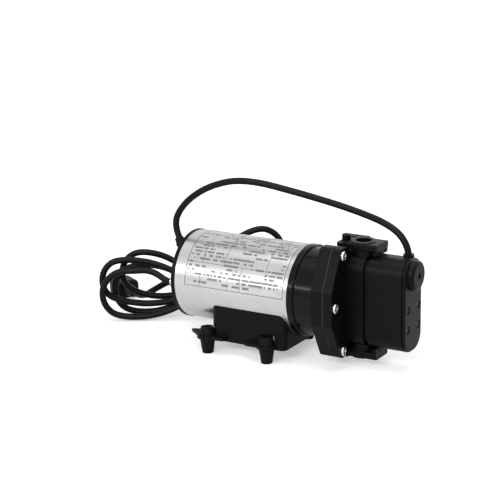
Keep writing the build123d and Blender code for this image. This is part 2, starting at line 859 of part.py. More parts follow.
for side in (-1, 1):
    for z in (cover_screw_top_z, cover_screw_low_z):
        y = side * cover_screw_y
        pillar = rod(cover_pillar_radius, switch_back + switch_wall - 1, switch_front, y, z)
        hole_end = switch_front - cover_screw_reach - 1
        housing += pillar - rod(cover_screw_radius, hole_end, switch_front + 1, y, z)
parts["switch_housing"] = housing

# Pressure switch: diaphragm, sprung plunger, microswitch and adjusting screw
sx = switch_back
parts["switch_diaphragm"] = rod(
    switch_diaphragm_radius - 0.1, sx, sx + switch_diaphragm_thickness, 0, switch_axis_z
)
plunger_front = head_back + plunger_head_thickness
plunger = rod(plunger_head_radius, head_back, plunger_front, 0, switch_axis_z)
plunger += rod(plunger_stem_radius, plunger_front, plunger_end, 0, switch_axis_z)
parts["switch_plunger"] = plunger
micro = block(
    micro_back,
    micro_back + microswitch_depth,
    -microswitch_width / 2 - microswitch_web,
    microswitch_width / 2 - microswitch_web,
    micro_low,
    micro_low + microswitch_height,
)
micro -= rod(
    button_radius + running_gap, micro_back - 1, micro_back + button_hole_depth, 0, switch_axis_z
)
parts["microswitch"] = micro
parts["microswitch_button"] = rod(
    button_radius, plunger_end + plunger_gap, micro_back + 2.0, 0, switch_axis_z
)
spring_room = pocket_end - plunger_front - switch_spring_wire - 2 * switch_spring_play
turn_path = Helix(spring_room / switch_spring_turns, spring_room, switch_spring_radius)
turn_start = Plane(origin=turn_path @ 0, z_dir=turn_path % 0)
coil = sweep(turn_start * Circle(switch_spring_wire / 2), path=turn_path, is_frenet=True)
spring_back = plunger_front + switch_spring_wire / 2 + switch_spring_play
parts["switch_spring"] = (
    Pos(spring_back, 0, axis_height + switch_axis_z) * Rot(0, 90, 0) * coil
)

# Front cover with the spring boss, the adjusting screw and four recessed screws
groove = slab(head_outline(cover_groove_inset), switch_front, switch_front + cover_groove_depth)
skin = slab(head_outline(), switch_front + cover_groove_depth, cover_front)
skin = fillet(skin.faces().sort_by(Axis.X)[-1].edges(), cover_edge)
boss = rod(switch_boss_radius, cover_front - 2, cover_front + switch_boss_depth, 0, switch_axis_z)
boss = fillet(boss.faces().sort_by(Axis.X)[-1].edges(), switch_boss_edge)
cover = groove + skin + boss
adjust_bore = rod(
    adjuster_radius + adjuster_gap, switch_front - 1, cover_front + switch_boss_depth + 1,
    0, switch_axis_z,
)
cover -= adjust_bore
cover_screws = []
for side in (-1, 1):
    for z in (cover_screw_top_z, cover_screw_low_z):
        y = side * cover_screw_y
        floor = cover_front - cover_recess_depth
        cover -= rod(cover_recess_radius, floor, cover_front + 1, y, z)
        cover -= rod(cover_screw_radius, switch_front - 1, cover_front, y, z)
        head = rod(cover_screw_head_radius, floor, floor + cover_screw_head_height, y, z)
        head = fillet(head.faces().sort_by(Axis.X)[-1].edges(), cover_screw_edge)
        cover_screws.append(head + rod(cover_screw_radius, switch_front - cover_screw_reach, floor, y, z))
parts["front_cover"] = cover
parts["cover_screws"] = Compound(cover_screws)

# Adjusting screw in the spring boss
adjuster_front = cover_front + switch_boss_depth - adjuster_sink
adjuster_back = micro_back + microswitch_depth + adjuster_end_gap
adjuster = rod(adjuster_radius, adjuster_back, adjuster_front, 0, switch_axis_z)
adjuster -= block(
    adjuster_front - adjuster_slot_depth,
    adjuster_front + 1,
    -adjuster_radius - 1,
    adjuster_radius + 1,
    switch_axis_z - adjuster_slot / 2,
    switch_axis_z + adjuster_slot / 2,
)
parts["adjusting_screw"] = adjuster

# Base cradle: a saddle under the can with four ears for the feet
cradle = block(
    cradle_back,
    cradle_front,
    -cradle_half_width,
    cradle_half_width,
    cradle_bottom - axis_height,
    cradle_top - axis_height,
)
cradle = fillet(cradle.edges().filter_by(Axis.Z), cradle_corner)
hollow = block(
    cradle_back + cradle_shell,
    cradle_front - cradle_shell,
    -cradle_half_width + cradle_shell,
    cradle_half_width - cradle_shell,
    cradle_bottom - axis_height - 1,
    cradle_top - axis_height - 1,
)
hollow -= rod(can_radius + saddle_gap + cradle_shell, cradle_back, cradle_front)
rib_x = (cradle_back + cradle_front) / 2
hollow -= block(
    rib_x - cradle_rib_half,
    rib_x + cradle_rib_half,
    -cradle_half_width,
    cradle_half_width,
    -axis_height,
    0,
)
cradle -= hollow
ear_top = foot_groove_low + ear_thickness
foot_places = [
    (x_end * foot_pitch_x / 2, side * foot_pitch_y / 2) for x_end in (-1, 1) for side in (-1, 1)
]
for x, y in foot_places:
    side = math.copysign(1, y)
    away = math.copysign(1, x)
    levels = (foot_groove_low - axis_height, ear_top - axis_height)
    cradle -= post(foot_top_radius + groove_gap, x, y, -axis_height, foot_top + 1 - axis_height)
    cradle += post(ear_radius, x, y, *levels)
    xs = sorted((x, x - away * ear_inset))
    ys = sorted((y + side * (ear_radius - ear_overlap), y - side * ear_radius))
    cradle += block(*xs, *ys, *levels)
    if x < 0:
        tab = Polyline(
            (x, y - side * 2),
            (x, y + side * ear_outer_reach),
            (x - ear_tab, y - side * ear_tab_reach),
            (x, y - side * ear_inner_reach),
            close=True,
        )
        base = Pos(0, 0, foot_groove_low) * make_face(tab)
        cradle += extrude(base, ear_thickness)
cradle -= rod(can_radius + saddle_gap, cradle_back - can_length, cradle_front + can_length)
for x, y in foot_places:
    cradle -= post(foot_groove_radius + groove_gap, x, y, -axis_height, ear_top - axis_height + 1)
screw_xs = [rib_x - cradle_screw_spacing / 2, rib_x + cradle_screw_spacing / 2]
seat_z = -(can_radius + saddle_gap + cradle_shell)
fixings = []
for x in screw_xs:
    reach = seat_z + cradle_shell + cradle_screw_reach
    cradle -= post(cradle_screw_radius, x, 0, seat_z - 1, reach)
    parts["motor_can"] -= post(cradle_screw_radius, x, 0, seat_z, reach + 2)
    head = post(cradle_screw_head_radius, x, 0, seat_z - cradle_screw_head_height, seat_z)
    fixings.append(head + post(cradle_screw_radius, x, 0, seat_z, reach))
    cradle -= post(cradle_screw_head_radius + 1, x, 0, -axis_height, seat_z)
parts["base_cradle"] = cradle
parts["cradle_screws"] = Compound(fixings)

# Four rubber feet, each snapped into its ear
foot_profile = Polyline(
    (foot_hole_radius, 0),
    (foot_low_radius, 0),
    (foot_top_radius, foot_groove_low),
    (foot_groove_radius, foot_groove_low),
    (foot_groove_radius, ear_top),
    (foot_top_radius, ear_top),
    (foot_top_radius - foot_top_taper, foot_top),
    (foot_hole_radius, foot_top),
    close=True,
)
foot = revolve(Plane.XZ * make_face(foot_profile), Axis.Z)
foot_names = ["rear_near_foot", "rear_far_foot", "front_near_foot", "front_far_foot"]
for name, (x, y) in zip(foot_names, foot_places):
    parts[name] = Pos(x, y, 0) * foot


def corner_radii(points, end_share):
    """Largest tangent arc at each corner, from the share of each run that its arcs may take."""
    shares = [end_share] + [run_share] * (len(points) - 3) + [end_share]
    radii = []
    for index in range(1, len(points) - 1):
        first = points[index] - points[index - 1]
        second = points[index + 1] - points[index]
        half_turn = math.radians(first.get_angle(second) / 2)
        tangent = min(shares[index - 1] * first.length, shares[index] * second.length)
        radii.append(tangent / math.tan(half_turn))
    return radii


def tube(name, points, diameter, end_share=run_share):
    """Sweeps a round cord along runs joined by tangent arcs and prints its facts."""
    points = [Vector(*point) for point in points]
    radii = corner_radii(points, end_share)
    path = FilletPolyline(*points, radius=radii)
    start = Plane(origin=path @ 0, z_dir=path % 0)
    solid = sweep(start * Circle(diameter / 2), path=path)
    expected = math.pi * diameter**2 / 4 * path.length
    print(name, "length", round(path.length, 1), "volume over section times length",
          round(solid.volume / expected, 4), "radii", [round(r) for r in radii])
    return solid, path


# Switch cable, whole from the inside of the rear cap to the inside of the switch housing
cable_bend = cable_exit + cable_direction * cable_lead_out
cable_arch = [
    (-73.5, -11.0, 71.0),
    (-45.0, -9.0, 90.5),
    (-8.0, -6.5, 100.0),
    (45.9, 4.4, 89.2),
    (88.4, 20.4, 76.1),
    (135.9, 8.5, 68.6),
    (entry_x, cable_entry_y, cable_entry_z + cable_entry_run),
    (entry_x, cable_entry_y, cable_entry_z),
]
switch_cable_route = [tuple(cable_start), tuple(cable_bend)]
switch_cable_route += [(x, y, axis_height + z) for x, y, z in cable_arch]
parts["switch_cable"], _ = tube(
    "switch_cable", switch_cable_route, switch_cable_diameter, cable_end_share
)
collar = along(
    cable_collar_radius, cable_exit, cable_exit + cable_direction * cable_collar_length,
    cable_collar_radius - 1.0,
)
collar -= along(
    switch_cable_diameter / 2 + cable_gap,
    cable_exit - cable_direction,
    cable_exit + cable_direction * (cable_collar_length + 1),
)
parts["switch_cable_collar"] = collar

# Power cord gland in the rear cap: flange outside, stub in the hole, tapered tail
cord_x = cap_back - cord_gland_flange
gland = rod(cord_gland_flange_radius, cord_x, cap_back, cord_gland_y, cord_gland_z)
gland += rod(cord_gland_tip_radius - cable_gap, cap_back, can_rear - 1, cord_gland_y, cord_gland_z)
gland_root = Vector(cord_x, cord_gland_y, axis_height + cord_gland_z)
gland_tip = gland_root - Vector(cord_gland_length, 0, 0)
gland += along(cord_gland_radius, gland_root, gland_tip, cord_gland_tip_radius)
parts["cord_gland"] = gland

# Hank: loops stacked in depth, drawn in at the waist, each lobe with its own reach and lean
turn = math.radians(hank_angle)


def hank_point(along_u, up, depth):
    x, y, z = hank_waist
    return (
        x + along_u * math.cos(turn) - depth * math.sin(turn),
        y + along_u * math.sin(turn) + depth * math.cos(turn),
        z + up,
    )


def lobe(side, reach, half, lean, depth, rising):
    """Six points round one end of a loop, from the low side up or from the top down."""
    corner = math.tan(math.radians(22.5)) * half
    low_side = [(0.42 * reach, -half), (reach - half + corner, -half), (reach, -corner)]
    high_side = [(out, -up) for out, up in low_side[::-1]]
    lean = math.radians(lean)
    points = []
    for out, up in low_side + high_side:
        u = out * math.cos(lean) - up * math.sin(lean)
        v = out * math.sin(lean) + up * math.cos(lean)
        points.append(hank_point(side * u, v, depth))
    return points if rising else points[::-1]


left_lobes = [(97.0, 24.0, -1.5), (98.0, 22.0, 8.0), (86.0, 24.5, -0.5), (82.0, 23.0, 19.0)]
right_lobes = [(82.0, 24.0, -1.5), (88.0, 23.0, 10.0), (76.0, 23.0, -1.0), (93.0, 22.5, 30.0)]
hank_route = []
for index, (left, right) in enumerate(zip(left_lobes, right_lobes)):
    depth = (index - (len(left_lobes) - 1) / 2) * hank_step
    hank_route += lobe(-1, *left, depth, False)
    hank_route += [hank_point(0, -hank_half_waist, depth)]
    hank_route += lobe(1, *right, depth, True)
    hank_route += [hank_point(0, hank_half_waist, depth)]
first_depth = -(len(left_lobes) - 1) / 2 * hank_step
hank_start = hank_point(-66.0, 22.3, first_depth)
plug_up = plug_height / 2 - hank_waist[2]
hank_end = hank_point(-70.0, plug_up, plug_depth)
hank_route = [hank_start] + hank_route[1:]
hank_route += [
    hank_point(-26.0, 5.0, 18.5),
    hank_point(-47.0, -8.0, 25.5),
    hank_point(-61.0, plug_up, plug_depth - plug_lead_in),
    hank_end,
]
parts["cord_hank"], hank_path = tube("cord_hank", hank_route, power_cord_diameter)

samples = 900
track = [hank_path @ (index / samples) for index in range(samples + 1)]
track = [(point.X, point.Y, point.Z) for point in track]
neighbour = int(8 * power_cord_diameter / (hank_path.length / samples))
least = min(
    math.dist(track[i], track[j])
    for i in range(len(track))
    for j in range(i + neighbour, len(track))
)
print("cord_hank least gap to itself", round(least - power_cord_diameter, 2))

# Free stretch from the gland to the hank
hank_heading = Vector(*hank_route[1]) - Vector(*hank_start)
cord_lead = Vector(*hank_start) - hank_heading.normalized() * cord_lead_in
power_cord_route = [
    tuple(gland_tip),
    (gland_tip.X - cord_lead_out, gland_tip.Y, gland_tip.Z),
    tuple(cord_lead),
    hank_start,
]
parts["power_cord"], _ = tube("power_cord", power_cord_route, power_cord_diameter)

# Tie round the waist of the hank
tie_half_depth = -first_depth + power_cord_diameter / 2 + tie_gap
waist_plane = Plane(origin=hank_waist, x_dir=(-math.sin(turn), math.cos(turn), 0),
                    z_dir=(math.cos(turn), math.sin(turn), 0))
band = RectangleRounded(
    2 * (tie_half_depth + tie_thickness),
    2 * (tie_half_height + tie_thickness),
    tie_corner + tie_thickness,
)
band -= RectangleRounded(2 * tie_half_depth, 2 * tie_half_height, tie_corner)
parts["cord_tie"] = extrude(waist_plane * band, tie_width / 2, both=True)

# Plug on the floor behind the hank, in line with the end of the cord
plug_root = Vector(*hank_end)
plug_way = (Vector(*hank_end) - Vector(*hank_route[-2])).normalized()
plug_plane = Plane(origin=plug_root, x_dir=(-plug_way.Y, plug_way.X, 0), z_dir=plug_way)
tail = plug_plane * Pos(0, 0, plug_tail / 2) * Cone(
    plug_tail_start_radius, plug_tail_end_radius, plug_tail
)
grip = RectangleRounded(plug_width, plug_height, plug_corner)
grip_plane = Plane(origin=plug_root + plug_way * plug_tail, x_dir=plug_plane.x_dir, z_dir=plug_way)
shell = extrude(grip_plane * grip, plug_length - plug_tail)
shell = fillet(shell.faces().sort_by(Axis(plug_root, plug_way))[0].edges(), plug_shoulder)
parts["plug_body"] = tail + shell
face_plane = Plane(origin=plug_root + plug_way * plug_length, x_dir=plug_plane.x_dir, z_dir=plug_way)
blades = []
for side in (-1, 1):
    blade = Box(blade_thickness, blade_width, blade_length)
    blade = fillet(blade.edges().filter_by(Axis.X).group_by(Axis.Z)[-1], blade_corner)
    blades.append(face_plane * Pos(side * blade_pitch / 2, blade_rise, blade_length / 2) * blade)
pin = Cylinder(ground_pin_radius, ground_pin_length)
pin = fillet(pin.edges().group_by(Axis.Z)[-1], ground_pin_edge)
blades.append(face_plane * Pos(0, -ground_pin_drop, ground_pin_length / 2) * pin)
parts["plug_blades"] = Compound(blades)

for name, shape in parts.items():
    shape.label = name
    export_step(shape, f"parts/{name}.step")
print(len(parts), "nodes")
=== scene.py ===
import json
import math

import bmesh
import bpy
from mathutils import Matrix, Vector


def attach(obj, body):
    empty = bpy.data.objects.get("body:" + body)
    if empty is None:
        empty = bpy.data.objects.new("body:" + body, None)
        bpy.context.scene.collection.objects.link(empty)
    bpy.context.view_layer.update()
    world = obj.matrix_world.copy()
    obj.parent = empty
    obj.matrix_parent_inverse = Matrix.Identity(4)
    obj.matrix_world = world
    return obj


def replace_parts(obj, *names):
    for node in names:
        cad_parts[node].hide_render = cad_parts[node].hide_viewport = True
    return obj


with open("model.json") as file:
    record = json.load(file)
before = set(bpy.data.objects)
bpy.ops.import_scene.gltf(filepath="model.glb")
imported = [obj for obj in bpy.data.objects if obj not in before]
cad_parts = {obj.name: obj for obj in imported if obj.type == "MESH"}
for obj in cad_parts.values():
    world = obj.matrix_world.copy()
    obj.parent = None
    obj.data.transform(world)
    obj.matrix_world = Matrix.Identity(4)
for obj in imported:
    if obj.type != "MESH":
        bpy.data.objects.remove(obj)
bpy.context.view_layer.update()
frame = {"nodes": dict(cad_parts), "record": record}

# Diaphragm pump: silver motor in a black cradle, black two-chamber head with a port above and
# below, a switch cable arched over the motor and a tied hank of power cord behind it.
# Lengths are in metres, or in millimetres where a comment says so. +X runs along the motor towards
# the head and z = 0 is the floor.
MM = 0.001
AXIS_HEIGHT = 63 * MM
CAN_RADIUS = 42 * MM

# Camera at the photograph's angle
AZIMUTH = math.radians(30.83)
ELEVATION = math.radians(15.69)
ROLL = math.radians(-1.0)
AIM = Vector((-0.0078, 0, 0.0928))
DISTANCE = 1.4712
SENSOR = 36
LENS = 112.6


def place_camera():
    camera = bpy.data.objects.new("camera", bpy.data.cameras.new("camera"))
    bpy.context.scene.collection.objects.link(camera)
    camera.data.sensor_width = SENSOR
    camera.data.lens = LENS
    camera.data.clip_start = 0.05
    camera.data.clip_end = 50
    back = Vector(
        (
            math.sin(AZIMUTH) * math.cos(ELEVATION),
            -math.cos(AZIMUTH) * math.cos(ELEVATION),
            math.sin(ELEVATION),
        )
    )
    right = Vector((math.cos(AZIMUTH), math.sin(AZIMUTH), 0))
    up = back.cross(right)
    turned_right = math.cos(ROLL) * right + math.sin(ROLL) * up
    turned_up = math.cos(ROLL) * up - math.sin(ROLL) * right
    camera.matrix_world = Matrix.Translation(AIM + back * DISTANCE) @ Matrix(
        (turned_right, turned_up, back)
    ).transposed().to_4x4()
    bpy.context.scene.camera = camera


place_camera()


# Cords. The hank's points are along it, up and across it, in millimetres from its waist. Each end of
# a loop has its reach and half height in millimetres and its lean in degrees. The lead's two runs
# and the switch cable's route are in millimetres too.
HANK_ANGLE = math.radians(30.8)
HANK_WAIST = Vector((-95.3, 47.3, 30.1)) * MM
HANK_STEP = 7.2
LEFT_LOBES = [(97.0, 24.0, -1.5), (98.0, 22.0, 8.0), (86.0, 24.5, -0.5), (80.0, 22.0, 14.0)]
RIGHT_LOBES = [(82.0, 24.0, -1.5), (88.0, 23.0, 10.0), (76.0, 23.0, -1.0), (93.0, 22.5, 30.0)]
FIRST_LOOP = -(len(LEFT_LOBES) - 1) / 2
HANK_CROSSING = 4
HANK_START = (-66.0, 22.3)
HANK_TAIL = [(-26.0, 5.0, 18.5), (-47.0, -8.0, 25.5), (-61.0, -20.6, 38.0), (-70.0, -20.6, 54.0)]
LOBE_START = 0.42
OCTAGON_HALF_CORNER = math.radians(22.5)
LEAD_OUT = 15
LEAD_IN = 19
POWER_CORD = 6.4 * MM
SWITCH_CABLE = 6.3 * MM
GLAND_TIP = Vector((-95.0, 16.0, 41.0)) * MM
SWITCH_ROUTE = [
    (-72.7, -14.0, 91.0),
    (-85.4, -14.0, 110.2),
    (-73.5, -11.0, 134.0),
    (-45.0, -9.0, 153.5),
    (-8.0, -6.5, 163.0),
    (45.9, 4.4, 152.2),
    (88.4, 20.4, 139.1),
    (135.9, 8.5, 131.6),
    (152.3, 7.9, 114.9),
    (152.3, 7.9, 103.5),
]


def hank_point(along, up, depth):
    """A point in the hank's own plane, in millimetres from its waist."""
    return HANK_WAIST + MM * Vector(
        (
            along * math.cos(HANK_ANGLE) - depth * math.sin(HANK_ANGLE),
            along * math.sin(HANK_ANGLE) + depth * math.cos(HANK_ANGLE),
            up,
        )
    )


def lobe(side, reach, half, lean, depth, rising):
    """The six points round one end of a loop."""
    corner = math.tan(OCTAGON_HALF_CORNER) * half
    low = [(LOBE_START * reach, -half), (reach - half + corner, -half), (reach, -corner)]
    high = [(out, -up) for out, up in reversed(low)]
    lean = math.radians(lean)
    points = []
    for out, up in low + high:
        turned_out = out * math.cos(lean) - up * math.sin(lean)
        turned_up = out * math.sin(lean) + up * math.cos(lean)
        points.append(hank_point(side * turned_out, turned_up, depth))
    return points if rising else points[::-1]


def cord_curve(name, points, diameter):
    curve = bpy.data.curves.new(name, "CURVE")
    curve.dimensions = "3D"
    curve.bevel_depth = 1
    curve.bevel_resolution = 7
    curve.resolution_u = 10
    curve.use_fill_caps = True
    spline = curve.splines.new("NURBS")
    spline.points.add(len(points) - 1)
    for control, point in zip(spline.points, points):
        control.co = (*point, 1)
        control.radius = diameter / 2
    spline.order_u = 3
    spline.use_endpoint_u = True
    cord = bpy.data.objects.new(name, curve)
    bpy.context.scene.collection.objects.link(cord)
    return cord


def make_power_cord():
    loops = []
    for index, (left, right) in enumerate(zip(LEFT_LOBES, RIGHT_LOBES)):
        depth = (index + FIRST_LOOP) * HANK_STEP
        loops += lobe(-1, *left, depth, False)
        loops.append(hank_point(0, -HANK_CROSSING, depth))
        loops += lobe(1, *right, depth, True)
        loops.append(hank_point(0, HANK_CROSSING, depth))
    start = hank_point(*HANK_START, FIRST_LOOP * HANK_STEP)
    heading = (loops[1] - start).normalized()
    leaving = GLAND_TIP - Vector((LEAD_OUT * MM, 0, 0))
    lead = [GLAND_TIP, leaving, start - heading * LEAD_IN * MM]
    tail = [hank_point(*point) for point in HANK_TAIL]
    return cord_curve("lead", lead + [start] + loops[1:] + tail, POWER_CORD)


def make_switch_cable():
    route = [MM * Vector(point) for point in SWITCH_ROUTE]
    return cord_curve("switch_lead", route, SWITCH_CABLE)


power_lead = make_power_cord()
switch_lead = make_switch_cable()
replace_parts(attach(power_lead, "pump_body"), "power_cord", "cord_hank")
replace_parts(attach(switch_lead, "pump_body"), "switch_cable")


class Signal:
    """An output socket of a finish, with the arithmetic that the finishes use."""

    def __init__(self, finish, socket):
        self.finish = finish
        self.socket = socket

    def maths(self, operation, first, second):
        return self.finish.node("ShaderNodeMath", {0: first, 1: second}, operation=operation)

    def __add__(self, other):
        return self.maths("ADD", self, other)

    def __radd__(self, other):
        return self.maths("ADD", other, self)

    def __sub__(self, other):
        return self.maths("SUBTRACT", self, other)

    def __rsub__(self, other):
        return self.maths("SUBTRACT", other, self)

    def __mul__(self, other):
        return self.maths("MULTIPLY", self, other)

    def __rmul__(self, other):
        return self.maths("MULTIPLY", other, self)

    def __truediv__(self, other):
        return self.maths("DIVIDE", self, other)

    def __mod__(self, other):
        return self.maths("FLOORED_MODULO", self, other)

    def __gt__(self, other):
        return self.maths("GREATER_THAN", self, other)

    def __lt__(self, other):
        return self.maths("LESS_THAN", self, other)

    def either(self, other):
        return self.maths("MAXIMUM", self, other)

    def size(self):
        return self.maths("ABSOLUTE", self, 0.0)

    def whole(self):
        return self.maths("FLOOR", self, 0.0)

    def ramp(self, low, high):
        """0 below low, 1 above high, and a smooth rise between."""
        inputs = {"Value": self, "From Min": low, "From Max": high}
        return self.finish.node("ShaderNodeMapRange", inputs, interpolation_type="SMOOTHSTEP")


class Finish:
    """One material: its surface shader and the nodes that feed it."""

    def __init__(self, name, colour, roughness, metallic=0.0, **settings):
        self.material = bpy.data.materials.new(name)
        self.material.use_nodes = True
        self.tree = self.material.node_tree
        self.shader = self.tree.nodes["Principled BSDF"]
        self.set("Base Color", (*colour, 1))
        self.set("Roughness", roughness)
        self.set("Metallic", metallic)
        for socket, value in settings.items():
            self.set(socket.replace("_", " ").title().replace("Ior", "IOR"), value)
        self.point = self.node("ShaderNodeTexCoord", output="Object")

    def set(self, socket, value):
        self.feed(self.shader.inputs[socket], value)

    def feed(self, socket, value):
        if isinstance(value, Signal):
            self.tree.links.new(value.socket, socket)
        else:
            socket.default_value = value

    def node(self, kind, inputs=None, output=0, **settings):
        node = self.tree.nodes.new(kind)
        for name, value in settings.items():
            setattr(node, name, value)
        for name, value in (inputs or {}).items():
            self.feed(node.inputs[name], value)
        return Signal(self, node.outputs[output])

    def axes(self):
        """The point's x, y and z as signals."""
        split = self.node("ShaderNodeSeparateXYZ", {0: self.point}).socket.node.outputs
        return [Signal(self, socket) for socket in split]

    def noise(self, scale, detail=3.0, roughness=0.55, stretch=(1, 1, 1), place=None):
        place = place or self.point
        point = self.node("ShaderNodeMapping", {"Vector": place, "Scale": stretch})
        return self.node(
            "ShaderNodeTexNoise",
            {"Vector": point, "Scale": scale, "Detail": detail, "Roughness": roughness},
        )

    def blend(self, share, first, second):
        return self.node(
            "ShaderNodeMix",
            {0: share, 6: first, 7: second},
            output=2,
            data_type="RGBA",
        )

    def relief(self, height, distance, edge=0.0, strength=1.0):
        inputs = {"Height": height, "Distance": distance, "Strength": strength}
        if edge:
            inputs["Normal"] = self.node("ShaderNodeBevel", {"Radius": edge}, samples=6)
        self.set("Normal", self.node("ShaderNodeBump", inputs))


def shade(tone):
    return (tone, tone, tone, 1)


def moulded_plastic(name, tone, roughness, edge=0.0006, mirror=0.15, coat=0.0):
    """Injection-moulded black plastic: spark-eroded grain, flow marks, and patches of dust and
    painted light on top-facing faces.
    """
    finish = Finish(name, shade(tone)[:3], roughness, specular_ior_level=mirror, coat_weight=coat)
    flow = finish.noise(38, 4)
    blotch = finish.noise(240, 4, 0.65)
    facing = finish.node("ShaderNodeNewGeometry", output="Normal")
    upward = finish.node("ShaderNodeSeparateXYZ", {0: facing}, output="Z").ramp(0.5, 1.0)
    # Lighter patches on top-facing faces: partly dust, partly painted light falling from above.
    dust_and_top_light = upward * blotch.ramp(0.45, 0.75) * 0.5
    body = finish.blend(flow, shade(tone * 0.7), shade(tone * 1.4))
    finish.set("Base Color", finish.blend(dust_and_top_light, body, shade(tone * 3 + 0.009)))
    finish.set("Roughness", roughness - 0.08 + 0.12 * flow + 0.06 * blotch + 0.2 * dust_and_top_light)
    finish.relief(finish.noise(1900, 2), 0.0001, edge, 0.45)
    return finish.material


def soft_rubber(name, tone, roughness, mirror=0.2):
    finish = Finish(name, shade(tone)[:3], roughness, specular_ior_level=mirror)
    bloom = finish.noise(60, 5)
    finish.set("Base Color", finish.blend(bloom, shade(tone * 0.7), shade(tone * 1.5)))
    finish.set("Roughness", roughness - 0.1 + 0.18 * bloom)
    finish.relief(finish.noise(900, 3), 0.0001, 0.0006, 0.4)
    return finish.material


def drawn_steel(name, tone, roughness):
    """Drawn sheet steel: fine rings round the can, faint clouding and a few scuffs."""
    finish = Finish(name, shade(tone)[:3], roughness, 1.0)
    rings = finish.noise(2600, 2, 0.6, (1, 0.03, 0.03))
    cloud = finish.noise(26, 5, 0.6)
    scuff = finish.noise(150, 6, 0.7).ramp(0.6, 0.72)
    body = finish.blend(cloud, shade(tone * 0.86), shade(tone * 1.1))
    finish.set("Base Color", finish.blend(scuff * 0.25, body, shade(tone * 0.7)))
    finish.set("Roughness", roughness - 0.08 + 0.1 * rings + 0.08 * cloud + 0.08 * scuff)
    finish.relief(rings, 0.00003, 0.0004, 0.2)
    return finish.material


# Label, in millimetres along the motor or round the can from its near side: its frame, its edge,
# its level rules, its upright rules as (place, low, high), and its rows of bars
LABEL_FRAME = (-54.6, 50.2)
LABEL_ROUND = (1.2, 82.4)
LABEL_EDGE = (0.8, 83.0)
LABEL_LEVELS = (12.5, 24.0, 61.0)
LABEL_CELLS = [(-38.7, 1.2, 12.5), (-9.0, 1.2, 12.5), (4.8, 1.2, 24.0), (30.0, 12.5, 61.0)]
LABEL_CELLS += [(-38.7, 24.0, 61.0), (-15.0, 24.0, 82.4)]
FRAME_END_HALF = 0.4
FRAME_SIDE_HALF = 0.3
RULE_HALF = 0.22
RULE_INK = 0.85
LABEL_ROW = 3.7
BAR_HEIGHT = (0.22, 0.78)
BAR_ROUND = (3.0, 80.5)
BAR_MARGIN = 2
BAR_GRAIN = 0.26
BAR_LEVEL = 0.44
BAR_INK = 0.72
COLUMN = 15
COLUMN_LEVEL = 0.38
INK = 0.03


def ruled_label(name, tone, roughness):
    """Bare foil label: a ruled frame with a row of cells and plain grey bars above it."""
    finish = Finish(name, shade(tone)[:3], roughness, 1.0)
    x, y, z = finish.axes()
    along = x * 1000
    angle = finish.node("ShaderNodeMath", {0: z - AXIS_HEIGHT, 1: 0 - y}, operation="ARCTAN2")
    round_can = angle * (CAN_RADIUS / MM)

    def within(signal, low, high):
        return (signal > low) * (signal < high)

    def rule(signal, place, half=RULE_HALF):
        return (signal - place).size() < half

    rear, front = LABEL_FRAME
    low_side, high_side = LABEL_ROUND
    in_frame = within(along, rear - FRAME_END_HALF, front + FRAME_END_HALF)
    in_frame = in_frame * within(round_can, *LABEL_EDGE)
    lines = rule(along, rear, FRAME_END_HALF).either(rule(along, front, FRAME_END_HALF))
    lines = lines.either(rule(round_can, low_side, FRAME_SIDE_HALF))
    lines = lines.either(rule(round_can, high_side, FRAME_SIDE_HALF))
    for level in LABEL_LEVELS:
        lines = lines.either(rule(round_can, level))
    for place, low, high in LABEL_CELLS:
        lines = lines.either(rule(along, place) * within(round_can, low, high))
    row = round_can / LABEL_ROW
    in_row = within(row % 1.0, *BAR_HEIGHT)
    step = finish.node("ShaderNodeCombineXYZ", {0: along * BAR_GRAIN, 1: row.whole() * 7.31})
    words = finish.noise(1.0, 1, 0.5, place=step)
    block = finish.node("ShaderNodeCombineXYZ", {0: (along / COLUMN).whole(), 1: row.whole() * 0.4})
    columns = finish.node("ShaderNodeTexWhiteNoise", {"Vector": block}) > COLUMN_LEVEL
    bars = in_row * (words > BAR_LEVEL) * columns * within(round_can, *BAR_ROUND)
    margin = within(along, rear + BAR_MARGIN, front - BAR_MARGIN)
    ink = (lines * in_frame * RULE_INK).either(bars * margin * in_frame * BAR_INK)
    cloud = finish.noise(30, 5, 0.6)
    wrinkle = finish.noise(190, 4, 0.6, (0.5, 1, 1))
    foil = finish.blend(cloud, shade(tone * 0.9), shade(tone * 1.08))
    finish.set("Base Color", finish.blend(ink, foil, shade(INK)))
    finish.set("Metallic", 1.0 - 0.8 * ink)
    finish.set("Roughness", roughness - 0.05 + 0.1 * cloud + 0.1 * ink)
    finish.relief(wrinkle, 0.00012, 0.0, 0.35)
    return finish.material


METAL_EDGE = 0.0004
CAST_GRAIN = 400
CAST_DEPTH = 0.00015


def plain_metal(name, colour, roughness):
    finish = Finish(name, colour, roughness, 1.0)
    cloud = finish.noise(120, 4)
    darker = tuple(channel * 0.88 for channel in colour)
    finish.set("Base Color", finish.blend(cloud, (*darker, 1), (*colour, 1)))
    finish.set("Roughness", roughness - 0.06 + 0.12 * cloud)
    finish.relief(cloud, 0.00005, METAL_EDGE, 0.3)
    return finish.material


def cast_body(name, colour, roughness, metallic=0.0):
    finish = Finish(name, colour, roughness, metallic)
    cloud = finish.noise(CAST_GRAIN / 8, 4)
    darker = tuple(channel * 0.8 for channel in colour)
    finish.set("Base Color", finish.blend(cloud, (*darker, 1), (*colour, 1)))
    finish.set("Roughness", roughness - 0.08 + 0.16 * cloud)
    finish.relief(finish.noise(CAST_GRAIN, 3), CAST_DEPTH, METAL_EDGE, 0.5)
    return finish.material


